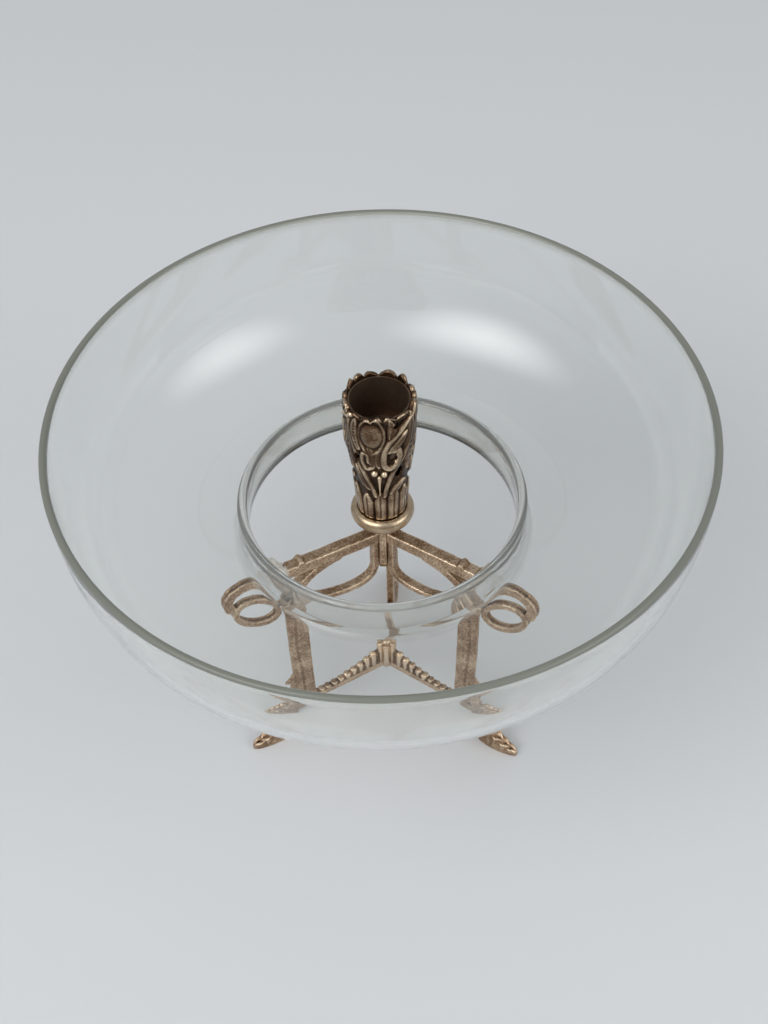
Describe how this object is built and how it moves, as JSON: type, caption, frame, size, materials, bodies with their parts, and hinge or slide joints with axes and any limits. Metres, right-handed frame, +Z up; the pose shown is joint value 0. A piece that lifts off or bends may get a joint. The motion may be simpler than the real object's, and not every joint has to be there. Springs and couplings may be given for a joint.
{
  "type": "floating candle bowl",
  "caption": "Clear ring-shaped glass bowl for floating candles on a legged cast brass stand, with a leafy candle socket standing through its open middle; bowl and socket cup lift off.",
  "frame": {"origin": "on the floor, at the centre of the object's footprint, on the candle axis", "axes": "+Z up along the candle; one leg points along +Y"},
  "size_m": [0.254, 0.254, 0.1905],
  "materials": {
    "clear_glass": "clear blown glass with a faint grey-green tint at the rim",
    "aged_brass": "cast brass, worn bright on the edges and dark brown in the recesses",
    "polished_brass": "brass polished by handling",
    "dark_brass": "plain sheet brass, darkened by soot and wax",
    "plain_brass": "plain turned brass"
  },
  "bodies": {
    "stand": {"arm_1": "aged_brass", "arm_2": "aged_brass", "arm_3": "aged_brass", "brace_1": "aged_brass", "brace_2": "aged_brass", "brace_3": "aged_brass", "candle_socket": "aged_brass", "collar_ring": "polished_brass", "hub_post": "aged_brass", "leg_1": "aged_brass", "leg_2": "aged_brass", "leg_3": "aged_brass", "leg_rivets": "aged_brass", "lower_stretcher": "aged_brass", "socket_nut": "plain_brass", "stretcher_dowels": "plain_brass", "stud_nut": "plain_brass", "stud_washer": "plain_brass", "tie_stud": "plain_brass", "volute_1": "aged_brass", "volute_2": "aged_brass", "volute_3": "aged_brass"},
    "bowl": {"glass_bowl": "clear_glass"},
    "liner": {"socket_liner": "dark_brass"}
  },
  "joints": [
    {"name": "bowl_lift", "type": "slide", "parent": "stand", "child": "bowl", "axis": [0, 0, 1], "range_m": [0, 0.085]},
    {"name": "liner_lift", "type": "slide", "parent": "stand", "child": "liner", "axis": [0, 0, 1], "range_m": [0, 0.03]}
  ]
}
